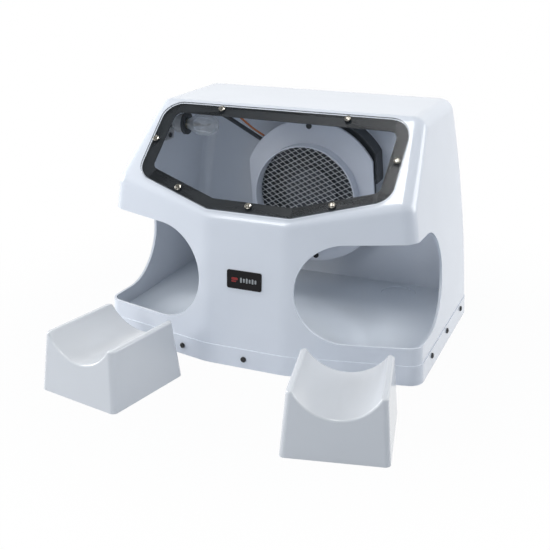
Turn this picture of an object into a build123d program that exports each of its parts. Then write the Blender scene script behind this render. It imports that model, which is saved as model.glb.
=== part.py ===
"""Desktop nail dust collector: a one-piece hood on a base tray, with a sloping window,
two arm openings, a blower behind a mesh grille, an inspection lamp and two loose armrests.

Millimetres.  +X is the user's right, +Y points away from the user and +Z is up.
The model is laid out from the foot of the hood's front face, and it is exported with its
origin at the middle of the hood's footprint, on the table.
"""
from build123d import *
import math
import os

# ---------------------------------------------------------------- driving dimensions
# Hood
HOOD_HALF_WIDTH = 203.0
HOOD_DEPTH = 283.0
HOOD_HEIGHT = 286.0
HOOD_WALL = 3.0
HOOD_EDGE_RADIUS = 17.0
PANEL_HALF_WIDTH = 50.0
PANEL_FOLD_RADIUS = 60.0
CORNER_SETBACK = 33.5
FRONT_LEAN = 2.55
REAR_LEAN = 1.3
SIDE_ARC_RADIUS = 1754.0
SIDE_ARC_CENTRE_Z = -65.8
SIDE_ARC_REACH = 204.2
RIM_Z = 1.5
SKIRT_TOP = 25.0
SKIRT_STEP = 0.8

# Sloping window
SLOPE_TILT = 40.9
SLOPE_Y = 28.8
SLOPE_Z = 200.0
WINDOW_HALF_WIDTH = 153.8
WINDOW_SHIFT = 1.2
WINDOW_TOP = 123.6
WINDOW_SHOULDER = 18.3
WINDOW_NOSE = -18.7
WINDOW_NOSE_HALF = 50.5
WINDOW_CORNER_RADIUS = 23.0
WINDOW_NOSE_RADIUS = 14.0
BAND_WIDTH = 13.0
BAND_OVERHANG = 2.4
SIGHT_PLACE = (0.5, -0.8)
SIGHT_TURN = -0.6
PANE_PROUD = 2.6
PANE_MARGIN = 1.4
PANE_THICKNESS = 2.5
GASKET_THICKNESS = 1.0
WINDOW_SCREWS = [
    (0.4, -12.8),
    (95.7, 0.9),
    (-93.3, 1.7),
    (152.4, 67.1),
    (-148.4, 67.1),
    (81.7, 119.0),
    (-78.1, 119.0),
]

# Arm openings: a circle beside the centre panel that runs out through the front corner
ARM_CENTRE_X = 117.5
ARM_CENTRE_Z = 103.0
ARM_RADIUS = 58.5
ARM_SIDE_CENTRE_Y = 84.0
ARM_SIDE_CENTRE_Z = 105.0
ARM_SIDE_RADIUS = 59.5
ARM_SIDE_CUT_START = 182.0
ARM_CORNER_TOP = 166.5
ARM_CORNER_BOTTOM = 46.5
ARM_FRONT_CUT_END = 46.0

# Base tray
TRAY_WALL = 2.5
TRAY_FLOOR = 3.0
TRAY_SCREW_Z = 12.7
FRONT_SCREW_X = 83.9
SIDE_SCREW_Y = 84.9
SIDE_SCREW_Z = 17.6
SIDE_SCREW_PITCH = 77.3
REAR_SCREW_X = 130.0
RECESS_X = 118.0
RECESS_Y = 244.0
RECESS_RADIUS = 23.0
RECESS_DEPTH = 1.2
FOOT_X = 160.0
FOOT_FRONT_Y = 60.0
FOOT_REAR_Y = 245.0
FOOT_RADIUS = 11.0

# Blower, in its own frame: +z towards the user from the rear wall's inner face
BLOWER_X = -10.0
BLOWER_Z = 152.0
BLOWER_ROLL = 4.3
BLOWER_DEPTH = 31.0
PLATE_RADIUS = 98.5
PLATE_HALF_WIDTH = 88.5
PLATE_THICKNESS = 3.0
PLATE_SCREW_RADIUS = 90.0
INLET_X = -4.3
INLET_Y = -4.6
INLET_RADIUS = 69.5
COLLAR_WALL = 2.2
COLLAR_HEIGHT = 17.0
MESH_THICKNESS = 1.2
SCROLL_START_RADIUS = 82.0
SCROLL_END_RADIUS = 106.0
SCROLL_GROWTH_END = 0.86
SCROLL_GROWTH_POWER = 2.6
SCROLL_HALF_WIDTH = 92.5
SCROLL_TONGUE_ANGLE = 8.0
SCROLL_WALL = 2.0
EXHAUST_RADIUS = 62.0
WHEEL_RADIUS = 64.0
WHEEL_BLADES = 28
ROTOR_RADIUS = 36.0
STATOR_RADIUS = 30.0
SHAFT_RADIUS = 3.0
SHAFT_CLEARANCE = 0.04
SPIGOT_RADIUS = 60.0
SPIGOT_LENGTH = 30.0
SPIGOT_FLANGE_RADIUS = 80.0
SPIGOT_SCREW_RADIUS = 71.0

# Lamp on the left side wall
LAMP_Y = 158.0
LAMP_Z = 250.0
BULB_RADIUS = 13.5
BULB_TIP_X = -104.0
SOCKET_FACE_X = -147.0
SOCKET_BACK_X = -166.0

# Electrics low on the rear wall
ELECTRICS_Z = 52.5
INLET_CENTRE_X = -135.0
FAN_SWITCH_X = -100.0
LAMP_SWITCH_X = -82.0
COVER_CENTRE_X = -119.0
COVER_SIZE = (94.0, 45.0, 29.5)
ROCKER_THROW = 9.0

# Badge, without any lettering
BADGE_WIDTH = 43.0
BADGE_HEIGHT = 22.0
BADGE_Z = 109.8

# Armrests
REST_WIDTH = 110.0
REST_LENGTH = 116.0
REST_HEIGHT = 69.0
REST_WALL = 3.0
REST_WIDTH_DRAFT = 5.4
REST_LENGTH_DRAFT = 7.2
REST_CORNER_RADIUS = 6.0
REST_RIM_RADIUS = 2.6
SADDLE_RADIUS = 50.0
SADDLE_DEPTH = 25.0
REST_PLACES = {"armrest_left": (-124.2, -86.0, -11.1), "armrest_right": (152.4, -94.5, 12.4)}

# Fasteners
CLEAR_M4 = 2.3
CLEAR_M3 = 1.7

# ---------------------------------------------------------------- shared geometry
SLOPE_ANGLE = math.radians(SLOPE_TILT)
LEAN = math.radians(FRONT_LEAN)
REAR_ANGLE = math.radians(REAR_LEAN)
FACET_ANGLE = math.atan2(CORNER_SETBACK, HOOD_HALF_WIDTH - PANEL_HALF_WIDTH)
BELOW_TABLE = -50.0
FAR = 600.0

FRONT_NORMAL = Vector(0, -math.cos(LEAN), math.sin(LEAN))
REAR_NORMAL = Vector(0, math.cos(REAR_ANGLE), math.sin(REAR_ANGLE))
SLOPE_NORMAL = Vector(0, -math.sin(SLOPE_ANGLE), math.cos(SLOPE_ANGLE))
SLOPE = Plane(origin=(0, SLOPE_Y, SLOPE_Z), x_dir=(1, 0, 0), z_dir=SLOPE_NORMAL)


def facet_normal(side):
    """Outward normal of the angled front facet on one side (-1 left, +1 right)."""
    across = side * math.sin(FACET_ANGLE) * math.cos(LEAN)
    return Vector(across, -math.cos(FACET_ANGLE) * math.cos(LEAN), math.sin(LEAN))


def only_solid(shape):
    """The one solid of a boolean result."""
    solids = shape.solids()
    assert len(solids) == 1, f"expected one solid, got {len(solids)}"
    return solids[0]


def half_space(body, point, normal):
    """Keep the part of the body behind the plane through point."""
    return split(body, bisect_by=Plane(origin=point, z_dir=normal), keep=Keep.BOTTOM)


def slab(low, high):
    """A wide horizontal slab between two heights."""
    return Pos(0, 150, (low + high) / 2) * Box(FAR, FAR, high - low)


def side_x(z, inset=0.0):
    """Half width of the hood at height z: the side walls are shallow arcs."""
    reach = SIDE_ARC_RADIUS - inset
    return SIDE_ARC_REACH - SIDE_ARC_RADIUS + math.sqrt(reach**2 - (z - SIDE_ARC_CENTRE_Z) ** 2)


def hood_form(inset):
    """The hood's closed form, moved inwards by inset, with every edge rounded."""
    faces = [
        (Vector(0, 0, 0), FRONT_NORMAL),
        (Vector(-PANEL_HALF_WIDTH, 0, 0), facet_normal(-1)),
        (Vector(PANEL_HALF_WIDTH, 0, 0), facet_normal(1)),
        (Vector(0, HOOD_DEPTH, 0), REAR_NORMAL),
        (Vector(0, 0, HOOD_HEIGHT), Vector(0, 0, 1)),
        (Vector(0, SLOPE_Y, SLOPE_Z), SLOPE_NORMAL),
    ]
    body = Pos(0, 150, 150) * Box(FAR, FAR, FAR)
    for point, normal in faces:
        body = half_space(body, point - normal * inset, normal)
    for side in (-1, 1):
        barrel = Rot(90, 0, 0) * Cylinder(SIDE_ARC_RADIUS - inset, 2 * FAR)
        body = body & Pos(side * (SIDE_ARC_REACH - SIDE_ARC_RADIUS), 150, SIDE_ARC_CENTRE_Z) * barrel
    body = only_solid(half_space(body, Vector(0, 0, 0), Vector(0, 0, -1)))
    folds = []
    for edge in body.edges():
        middle = edge.center()
        upright = abs(abs(middle.X) - PANEL_HALF_WIDTH) < 5 and 60 < middle.Z < 120
        if upright and edge.length > 100:
            folds.append(edge)
    body = only_solid(fillet(folds, PANEL_FOLD_RADIUS - inset))
    sharp = []
    for edge in body.edges():
        middle = edge.center()
        in_fold = middle.Z < 120 and abs(middle.X) < 70
        if middle.Z > 1 and not in_fold:
            sharp.append(edge)
    return only_solid(fillet(sharp, HOOD_EDGE_RADIUS - inset))


def window_face(grow):
    """The window's six-sided outline in the slope plane, grown or shrunk by grow."""
    half = WINDOW_HALF_WIDTH
    corners = [
        (-half, WINDOW_TOP),
        (-half, WINDOW_SHOULDER),
        (-WINDOW_NOSE_HALF, WINDOW_NOSE),
        (WINDOW_NOSE_HALF, WINDOW_NOSE),
        (half, WINDOW_SHOULDER),
        (half, WINDOW_TOP),
    ]
    outline = make_face(Polyline(*corners, close=True))
    wide = [v for v in outline.vertices() if abs(v.X) > WINDOW_NOSE_HALF + 1]
    outline = fillet(wide, WINDOW_CORNER_RADIUS)
    nose = [v for v in outline.vertices() if v.Y < WINDOW_NOSE + 0.1]
    outline = fillet(nose, WINDOW_NOSE_RADIUS)
    outline = offset(outline, grow) if grow else outline
    return Pos(WINDOW_SHIFT, 0) * outline


def sight_face(grow):
    """The outline that stays clear inside the black border, grown by grow."""
    return Pos(*SIGHT_PLACE) * Rot(0, 0, SIGHT_TURN) * window_face(grow - BAND_WIDTH)


def on_slope(sketch, start, thickness):
    """A plate of the given outline on the slope, from start above the hood's skin."""
    return only_solid(SLOPE * Pos(0, 0, start) * extrude(sketch, thickness))


def screw(head_radius, head_height, shank_radius, length):
    """A pan-head cross-recess screw: head above z=0, shank below."""
    head = Cylinder(head_radius, head_height, align=(Align.CENTER, Align.CENTER, Align.MIN))
    crown = head.edges().filter_by(GeomType.CIRCLE).sort_by(Axis.Z)[-1]
    head = fillet(crown, head_height * 0.6)
    shank = Pos(0, 0, -length / 2) * Cylinder(shank_radius, length)
    recess = Box(head_radius * 1.1, head_radius * 0.24, head_height)
    recess += Box(head_radius * 0.24, head_radius * 1.1, head_height)
    return only_solid(head + shank - Pos(0, 0, head_height) * recess)


def facing(point, normal):
    """Location at a point with its z axis along a normal."""
    return Plane(origin=point, z_dir=normal).location


def group(solids):
    """Several separate solids kept in one node."""
    return Compound(children=[only_solid(s) for s in solids])


# ---------------------------------------------------------------- fastener places
def slope_place(u, v):
    """A place on the hood's sloping skin."""
    return SLOPE.location * Pos(u, v, 0)


def tray_screw_places():
    """Where the eleven screws of the base tray enter the skirt, and their directions."""
    places = [(Vector(0, 0, 0), FRONT_NORMAL, TRAY_SCREW_Z)]
    for side in (-1, 1):
        start = Vector(side * PANEL_HALF_WIDTH, 0, 0)
        run = Vector(side * (FRONT_SCREW_X - PANEL_HALF_WIDTH), 0, 0)
        run += Vector(0, math.tan(FACET_ANGLE) * (FRONT_SCREW_X - PANEL_HALF_WIDTH), 0)
        places.append((start + run, facet_normal(side), TRAY_SCREW_Z))
        places.append((Vector(side * REAR_SCREW_X, HOOD_DEPTH, 0), REAR_NORMAL, TRAY_SCREW_Z))
    located = []
    for foot, normal, height in places:
        rise = Vector(0, -normal.Z / normal.Y * height, height)
        located.append(facing(foot + rise + normal * SKIRT_STEP, normal))
    for side in (-1, 1):
        for step in range(3):
            angle = math.asin((SIDE_SCREW_Z - SIDE_ARC_CENTRE_Z) / SIDE_ARC_RADIUS)
            normal = Vector(side * math.cos(angle), 0, math.sin(angle))
            y = SIDE_SCREW_Y + step * SIDE_SCREW_PITCH
            foot = Vector(side * side_x(SIDE_SCREW_Z), y, SIDE_SCREW_Z)
            located.append(facing(foot + normal * SKIRT_STEP, normal))
    return located


def blower_frame():
    """The blower's frame: origin on the rear wall's inner face, z towards the user."""
    y = HOOD_DEPTH - HOOD_WALL / math.cos(REAR_ANGLE) - math.tan(REAR_ANGLE) * BLOWER_Z
    roll = math.radians(BLOWER_ROLL)
    up = Vector(0, -math.sin(REAR_ANGLE), math.cos(REAR_ANGLE))
    across = Vector(1, 0, 0) * math.cos(roll) + up * math.sin(roll)
    return Plane(origin=(BLOWER_X, y, BLOWER_Z), x_dir=across, z_dir=-REAR_NORMAL)


def rear_place(x, z):
    """A place on the rear wall's outer face: x runs to the user's left, z outwards."""
    y = HOOD_DEPTH - math.tan(REAR_ANGLE) * z
    return Plane(origin=(x, y, z), x_dir=(-1, 0, 0), z_dir=REAR_NORMAL).location


BLOWER = blower_frame().location
WHEEL_AXIS = BLOWER * Pos(INLET_X, INLET_Y, 0)
PLATE_SCREW_PLACES = [(3.3, PLATE_SCREW_RADIUS), (1.1, -PLATE_SCREW_RADIUS)]


# ---------------------------------------------------------------- hood and tray
def arm_cutter(side):
    """The solid that cuts one arm opening through the front facet and the side wall."""
    reach = HOOD_HALF_WIDTH + 30
    rise = (ARM_CORNER_TOP - ARM_CENTRE_Z - ARM_RADIUS) / (side_x(ARM_CORNER_TOP) - ARM_CENTRE_X)
    top_out = ARM_CENTRE_Z + ARM_RADIUS + rise * (reach - ARM_CENTRE_X)
    front = make_face(
        ThreePointArc(
            (side * ARM_CENTRE_X, ARM_CENTRE_Z + ARM_RADIUS),
            (side * (ARM_CENTRE_X - ARM_RADIUS), ARM_CENTRE_Z),
            (side * ARM_CENTRE_X, ARM_CENTRE_Z - ARM_RADIUS),
        )
        + Polyline(
            (side * ARM_CENTRE_X, ARM_CENTRE_Z - ARM_RADIUS),
            (side * reach, ARM_CORNER_BOTTOM),
            (side * reach, top_out),
            (side * ARM_CENTRE_X, ARM_CENTRE_Z + ARM_RADIUS),
        )
    )
    front_plane = Plane(origin=(0, -20, 0), x_dir=(1, 0, 0), z_dir=(0, -1, 0))
    front_cut = front_plane * extrude(front, -(ARM_FRONT_CUT_END + 20))
    lateral = make_face(
        ThreePointArc(
            (ARM_SIDE_CENTRE_Y, ARM_SIDE_CENTRE_Z + ARM_SIDE_RADIUS),
            (ARM_SIDE_CENTRE_Y + ARM_SIDE_RADIUS, ARM_SIDE_CENTRE_Z),
            (ARM_SIDE_CENTRE_Y, ARM_SIDE_CENTRE_Z - ARM_SIDE_RADIUS),
        )
        + Polyline(
            (ARM_SIDE_CENTRE_Y, ARM_SIDE_CENTRE_Z - ARM_SIDE_RADIUS),
            (CORNER_SETBACK, ARM_CORNER_BOTTOM),
            (-20, ARM_CORNER_BOTTOM),
            (-20, ARM_CORNER_TOP),
            (CORNER_SETBACK, ARM_CORNER_TOP),
            (ARM_SIDE_CENTRE_Y, ARM_SIDE_CENTRE_Z + ARM_SIDE_RADIUS),
        )
    )
    side_plane = Plane(origin=(side * reach, 0, 0), x_dir=(0, 1, 0), z_dir=(1, 0, 0))
    side_cut = side_plane * extrude(lateral, -side * (reach - ARM_SIDE_CUT_START))
    return front_cut + side_cut


def make_hood():
    """The thin one-piece hood with its skirt, window, arm openings and screw holes."""
    outer = hood_form(0) + (hood_form(-SKIRT_STEP) & slab(BELOW_TABLE, SKIRT_TOP))
    shell = outer - hood_form(HOOD_WALL) - slab(BELOW_TABLE, RIM_Z)
    shell -= SLOPE * Pos(0, 0, -10) * extrude(sight_face(BAND_OVERHANG), 20)
    for side in (-1, 1):
        shell -= arm_cutter(side)
    for u, v in WINDOW_SCREWS:
        shell -= slope_place(u, v) * Cylinder(CLEAR_M4, 12)
    for place in tray_screw_places():
        shell -= place * Cylinder(CLEAR_M3, 12)
    shell -= WHEEL_AXIS * Cylinder(EXHAUST_RADIUS, 20)
    for place in spigot_screw_places():
        shell -= place * Cylinder(CLEAR_M3, 12)
    for x, y in PLATE_SCREW_PLACES:
        shell -= BLOWER * Pos(x, y, 0) * Cylinder(CLEAR_M4, 12)
    shell -= rear_place(INLET_CENTRE_X, ELECTRICS_Z) * Box(27.8, 20.4, 12)
    for x in (-20, 20):
        shell -= rear_place(INLET_CENTRE_X, ELECTRICS_Z) * Pos(x, 0, 0) * Cylinder(CLEAR_M3, 12)
    for x in (FAN_SWITCH_X, LAMP_SWITCH_X):
        shell -= rear_place(x, ELECTRICS_Z) * Box(12.9, 19.2, 12)
    for place in lamp_screw_places():
        shell -= place * Cylinder(CLEAR_M3, 14)
    return only_solid(shell)


def make_tray():
    """The base tray: a floor with a turned-down flange, screwed inside the skirt."""
    outer = hood_form(HOOD_WALL)
    inner = hood_form(HOOD_WALL + TRAY_WALL)
    tray = (outer & slab(RIM_Z + 0.5, SKIRT_TOP)) - (inner & slab(BELOW_TABLE, SKIRT_TOP - TRAY_FLOOR))
    for side in (-1, 1):
        recess = Cylinder(RECESS_RADIUS, 2 * RECESS_DEPTH)
        tray -= Pos(side * RECESS_X, RECESS_Y, SKIRT_TOP) * recess
    for place in tray_screw_places():
        tray -= place * Cylinder(1.5, 24)
    return only_solid(tray)


def make_tray_screws():
    return group([place * screw(3.4, 2.2, 1.5, 7.0) for place in tray_screw_places()])


def make_feet():
    """Five rubber feet under the tray floor: four near the corners, one in the middle."""
    height = SKIRT_TOP - TRAY_FLOOR
    foot = Cone(FOOT_RADIUS - 1.5, FOOT_RADIUS, height, align=(Align.CENTER, Align.CENTER, Align.MIN))
    tread = foot.edges().filter_by(GeomType.CIRCLE).sort_by(Axis.Z)[0]
    foot = fillet(tread, 1.0)
    places = [(0, HOOD_DEPTH / 2)]
    for x in (-FOOT_X, FOOT_X):
        places += [(x, FOOT_FRONT_Y), (x, FOOT_REAR_Y)]
    return group([Pos(x, y, 0) * foot for x, y in places])


# ---------------------------------------------------------------- window
def make_gasket():
    ring = window_face(PANE_PROUD - PANE_MARGIN) - sight_face(0)
    gasket = SLOPE * extrude(ring, GASKET_THICKNESS)
    for u, v in WINDOW_SCREWS:
        gasket -= slope_place(u, v) * Cylinder(CLEAR_M4, 12)
    return only_solid(gasket)


def make_pane():
    """The clear sheet, with a small bevel along its upper edge."""
    pane = on_slope(window_face(PANE_PROUD), GASKET_THICKNESS, PANE_THICKNESS)
    rim = pane.faces().sort_by(Axis(SLOPE.origin, SLOPE.z_dir))[-1]
    pane = chamfer(rim.edges(), 0.5)
    for u, v in WINDOW_SCREWS:
        pane -= slope_place(u, v) * Cylinder(CLEAR_M4, 30)
    return only_solid(pane)


def make_window_screws():
    seat = GASKET_THICKNESS + PANE_THICKNESS
    length = seat + HOOD_WALL + 5.0
    body = Pos(0, 0, seat) * screw(4.0, 2.2, 2.0, length)
    return group([slope_place(u, v) * body for u, v in WINDOW_SCREWS])


def make_window_nuts():
    nut = extrude(RegularPolygon(4.04, 6), 3.2) - Cylinder(2.0, 20)
    return group([slope_place(u, v) * Pos(0, 0, -HOOD_WALL - 3.2) * nut for u, v in WINDOW_SCREWS])


def make_badge():
    """A plain black badge plate on the centre panel."""
    foot = Vector(0, math.tan(LEAN) * BADGE_Z, BADGE_Z)
    plate = extrude(RectangleRounded(BADGE_WIDTH, BADGE_HEIGHT, 2.4), 1.2)
    rim = plate.faces().sort_by(Axis.Z)[-1].edges()
    plate = chamfer(rim, 0.3)
    return only_solid(Plane(origin=foot, x_dir=(1, 0, 0), z_dir=FRONT_NORMAL) * plate)


# ---------------------------------------------------------------- blower
def flat_sided(radius, half_width):
    """A disc with two straight sides."""
    return Circle(radius) & Rectangle(2 * half_width, 2 * radius + 2)


def make_blower_plate():
    """The white front plate of the blower, with its inlet hole off centre."""
    plate = extrude(flat_sided(PLATE_RADIUS, PLATE_HALF_WIDTH), PLATE_THICKNESS)
    rim = plate.faces().sort_by(Axis.Z)[-1].edges()
    plate = fillet(rim, 1.2)
    plate -= Pos(INLET_X, INLET_Y, 0) * Cylinder(INLET_RADIUS + COLLAR_WALL, 20)
    for x, y in PLATE_SCREW_PLACES:
        plate -= Pos(x, y, 0) * Cylinder(CLEAR_M4, 20)
    return only_solid(BLOWER * Pos(0, 0, BLOWER_DEPTH - PLATE_THICKNESS) * plate)


def make_collar():
    """The short inlet collar that stands proud of the plate, with a rolled lip."""
    outer = INLET_RADIUS + COLLAR_WALL
    height = PLATE_THICKNESS + COLLAR_HEIGHT
    ring = Circle(outer) - Circle(INLET_RADIUS)
    collar = extrude(ring, height)
    lip = collar.edges().filter_by(GeomType.CIRCLE).group_by(Axis.Z)[-1]
    collar = fillet(lip, COLLAR_WALL * 0.45)
    return only_solid(WHEEL_AXIS * Pos(0, 0, BLOWER_DEPTH - PLATE_THICKNESS) * collar)


def make_mesh():
    """The disc that the expanded-metal mesh fills."""
    disc = Cylinder(INLET_RADIUS, MESH_THICKNESS, align=(Align.CENTER, Align.CENTER, Align.MIN))
    return only_solid(WHEEL_AXIS * Pos(0, 0, BLOWER_DEPTH - MESH_THICKNESS) * disc)


def scroll_outline(shrink):
    """The volute: its radius grows clockwise from the tongue, slowly and then faster."""
    steps = 20
    points = []
    for step in range(steps + 1):
        share = step / steps
        angle = math.radians(SCROLL_TONGUE_ANGLE - 360 * share)
        growth = min(1, share / SCROLL_GROWTH_END) ** SCROLL_GROWTH_POWER
        radius = SCROLL_START_RADIUS + (SCROLL_END_RADIUS - SCROLL_START_RADIUS) * growth - shrink
        points.append((radius * math.cos(angle), radius * math.sin(angle)))
    volute = make_face(Spline(*points) + Line(points[-1], points[0]))
    half = SCROLL_HALF_WIDTH - shrink
    return volute & Rectangle(2 * half, 3 * SCROLL_END_RADIUS)


def make_scroll():
    """The black scroll housing: a wall along the volute, a back plate and two screw bosses."""
    depth = BLOWER_DEPTH - PLATE_THICKNESS
    housing = extrude(scroll_outline(0), depth)
    housing -= Pos(0, 0, SCROLL_WALL) * extrude(scroll_outline(SCROLL_WALL), depth)
    for x, y in PLATE_SCREW_PLACES:
        housing += Pos(x, y, depth / 2) * Cylinder(6, depth)
        housing += Pos(x, y * 0.95, depth / 2) * Box(8, 20, depth)
    for x, y in PLATE_SCREW_PLACES:
        housing -= Pos(x, y, depth / 2) * Cylinder(2, 2 * depth)
    housing -= Pos(INLET_X, INLET_Y, 0) * Cylinder(EXHAUST_RADIUS, 4 * SCROLL_WALL)
    housing = BLOWER * housing
    for place in spigot_screw_places():
        housing -= place * Cylinder(1.5, 14)
    return only_solid(housing)


def make_plate_screws():
    body = Pos(0, 0, BLOWER_DEPTH) * screw(3.9, 2.4, 2.0, BLOWER_DEPTH + 2)
    heads = [BLOWER * Pos(x, y, 0) * body for x, y in PLATE_SCREW_PLACES]
    return group(heads)


def make_motor_bracket():
    """A ring on the back plate with three arms to the motor's seat."""
    ring = Circle(EXHAUST_RADIUS + 8) - Circle(EXHAUST_RADIUS - 2)
    spider = ring + Circle(20)
    for arm in range(3):
        spider += Rot(0, 0, 90 + 120 * arm) * Pos(EXHAUST_RADIUS / 2, 0) * Rectangle(EXHAUST_RADIUS, 9)
    bracket = extrude(spider, 2) - Cylinder(SHAFT_RADIUS + 1, 20)
    return only_solid(WHEEL_AXIS * Pos(0, 0, SCROLL_WALL) * bracket)


def make_stator():
    """The motor's wound core on its bearing tube."""
    core = Pos(0, 0, 8) * Cylinder(STATOR_RADIUS, 8) + Pos(0, 0, 10) * Cylinder(8, 12)
    for slot in range(12):
        core -= Rot(0, 0, 30 * slot) * Pos(STATOR_RADIUS, 0, 8) * Box(12, 2.4, 12)
    core -= Cylinder(5.5, 60)
    return only_solid(WHEEL_AXIS * core)


def make_bearings():
    ring = Cylinder(5.5, 3) - Cylinder(SHAFT_RADIUS + SHAFT_CLEARANCE, 10)
    return group([WHEEL_AXIS * Pos(0, 0, z) * ring for z in (6.0, 14.0)])


def make_shaft():
    shaft = Cylinder(SHAFT_RADIUS, 17, align=(Align.CENTER, Align.CENTER, Align.MIN))
    return only_solid(WHEEL_AXIS * Pos(0, 0, 4.5) * shaft)


def make_rotor():
    """The motor's outer rotor: a cup that carries the wheel."""
    cup = Pos(0, 0, 14.5) * Cylinder(ROTOR_RADIUS, 14)
    cup -= Pos(0, 0, 12.5) * Cylinder(ROTOR_RADIUS - 2, 14)
    rim = cup.edges().filter_by(GeomType.CIRCLE).group_by(Axis.Z)[-1]
    cup = fillet(rim, 1.5)
    cup -= Pos(0, 0, 20) * Cylinder(SHAFT_RADIUS, 20)
    return only_solid(WHEEL_AXIS * cup)


def make_wheel():
    """The blower wheel: a back disc, curved blades and a front ring."""
    back = extrude(Circle(WHEEL_RADIUS) - Circle(ROTOR_RADIUS), 1.5)
    ring = Pos(0, 0, 13) * extrude(Circle(WHEEL_RADIUS) - Circle(WHEEL_RADIUS - 6), 1.5)
    wheel = back + ring
    tip = WHEEL_RADIUS - 0.5
    root = WHEEL_RADIUS - 14
    sweep = math.radians(9)
    spine = ThreePointArc(
        (root, 0),
        ((root + tip) / 2, 2.6),
        (tip * math.cos(sweep), tip * math.sin(sweep) - 4),
    )
    blade = Pos(0, 0, 1) * extrude(trace(spine, 1.0), 12.5)
    for index in range(WHEEL_BLADES):
        wheel += Rot(0, 0, 360 / WHEEL_BLADES * index) * blade
    return only_solid(WHEEL_AXIS * Pos(0, 0, 9.5) * wheel)


# ---------------------------------------------------------------- exhaust
def spigot_screw_places():
    """Four places round the spigot's flange, z pointing out of the rear wall."""
    outside = WHEEL_AXIS * Rot(180, 0, 0) * Pos(0, 0, HOOD_WALL)
    return [outside * Rot(0, 0, 45 + 90 * k) * Pos(SPIGOT_SCREW_RADIUS, 0, 0) for k in range(4)]


def exhaust_place():
    """The exhaust axis on the rear wall's outer face, z pointing out."""
    return WHEEL_AXIS * Rot(180, 0, 0) * Pos(0, 0, HOOD_WALL)


def make_spigot():
    """The flanged rear spigot that a hose or a dust bag slides over."""
    flange = extrude(Circle(SPIGOT_FLANGE_RADIUS) - Circle(SPIGOT_RADIUS - 3), 3)
    tube = extrude(Circle(SPIGOT_RADIUS) - Circle(SPIGOT_RADIUS - 3), 3 + SPIGOT_LENGTH)
    spigot = flange + tube
    mouth = spigot.edges().filter_by(GeomType.CIRCLE).group_by(Axis.Z)[-1]
    spigot = fillet(mouth, 1.2)
    for k in range(4):
        spigot -= Rot(0, 0, 45 + 90 * k) * Pos(SPIGOT_SCREW_RADIUS, 0, 0) * Cylinder(CLEAR_M3, 20)
    return only_solid(exhaust_place() * spigot)


def make_guard():
    """The finger guard in the spigot: wire rings on four crossing spokes."""
    spoke = Cylinder(1.2, 2 * SPIGOT_RADIUS - 6)
    guard = Rot(0, 90, 0) * spoke + Rot(90, 0, 0) * spoke
    for radius in (12, 24, 36, 48):
        guard += Torus(radius, 1.0)
    return only_solid(exhaust_place() * Pos(0, 0, 8) * guard)


def make_spigot_screws():
    body = Pos(0, 0, 3) * screw(3.2, 2.2, 1.5, 7.5)
    return group([place * body for place in spigot_screw_places()])


# ---------------------------------------------------------------- lamp
def lamp_wall_place(z):
    """A place on the left wall's inner face at height z, z axis pointing into the hood."""
    angle = math.asin((z - SIDE_ARC_CENTRE_Z) / (SIDE_ARC_RADIUS - HOOD_WALL))
    normal = Vector(math.cos(angle), 0, -math.sin(angle))
    x = -side_x(z, HOOD_WALL)
    return Plane(origin=(x, LAMP_Y, z), x_dir=(0, 1, 0), z_dir=normal).location


def lamp_screw_places():
    return [lamp_wall_place(LAMP_Z) * Pos(0, v, 0) for v in (-17, 17)]


def make_lamp_bracket():
    """A folded strip: a wall leg, and a bent-out seat that carries the lamp holder."""
    leg = Pos(0, 0, 0.2) * Box(20, 46, 1.5, align=(Align.CENTER, Align.CENTER, Align.MIN))
    seat = Pos(0, 0, 1.7) * Box(20, 18, 4.0, align=(Align.CENTER, Align.CENTER, Align.MIN))
    bracket = lamp_wall_place(LAMP_Z) * (leg + seat)
    for place in lamp_screw_places():
        bracket -= place * Cylinder(CLEAR_M3, 14)
    clip = Pos(SOCKET_BACK_X + 25, LAMP_Y, LAMP_Z) * Box(50, 60, 60)
    return only_solid(bracket - clip)


def make_lamp_screws():
    body = Pos(0, 0, 1.7) * screw(3.2, 2.2, 1.5, 5.0)
    return group([place * body for place in lamp_screw_places()])


def lamp_profile(points):
    """A turned part on the lamp's axis: points are (x along the axis, radius)."""
    outline = [(x, 0) for x in (points[-1][0], points[0][0])] + points
    face = make_face(Polyline(*outline, close=True))
    return Pos(0, LAMP_Y, LAMP_Z) * revolve(face, Axis.X)


def make_socket():
    """The lamp holder: a stepped shell with a dark rim and a bore for the cap."""
    back, front = SOCKET_BACK_X, SOCKET_FACE_X
    body = [(back, 9.0), (back + 5, 12.0), (front - 4, 12.0)]
    holder = lamp_profile(body + [(front - 4, 14.0), (front, 14.0)])
    bore = Pos(front - 7, LAMP_Y, LAMP_Z) * Rot(0, 90, 0) * Cylinder(7.2, 14)
    return only_solid(holder - bore)


def make_bulb_cap():
    """The lamp's threaded cap, seated in the holder."""
    front = SOCKET_FACE_X
    cap = lamp_profile([(front - 13, 3.5), (front - 11, 6.6), (front + 1, 6.6), (front + 1, 6.0)])
    ridge = Torus(6.6, 0.5)
    for turn in range(3):
        cap += Pos(front - 9 + 3 * turn, LAMP_Y, LAMP_Z) * Rot(0, 90, 0) * ridge
    return only_solid(cap)


def bulb_form(radius, tip, neck):
    """The bulb's closed form: a neck that swells into a round nose."""
    start = SOCKET_FACE_X + 1
    middle = tip - radius
    profile = make_face(
        Line((start, 0), (start, neck))
        + Spline((start, neck), (start + 12, radius - 1.2), (middle, radius), tangents=((1, 0.35), (1, 0)))
        + RadiusArc((middle, radius), (tip, 0), radius)
        + Line((tip, 0), (start, 0))
    )
    return Pos(0, LAMP_Y, LAMP_Z) * revolve(profile, Axis.X)


def make_bulb():
    """The clear glass envelope, 0.8 thick."""
    glass = bulb_form(BULB_RADIUS, BULB_TIP_X, 6.6)
    hollow = bulb_form(BULB_RADIUS - 0.8, BULB_TIP_X - 0.8, 5.8)
    return only_solid(glass - hollow)


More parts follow.
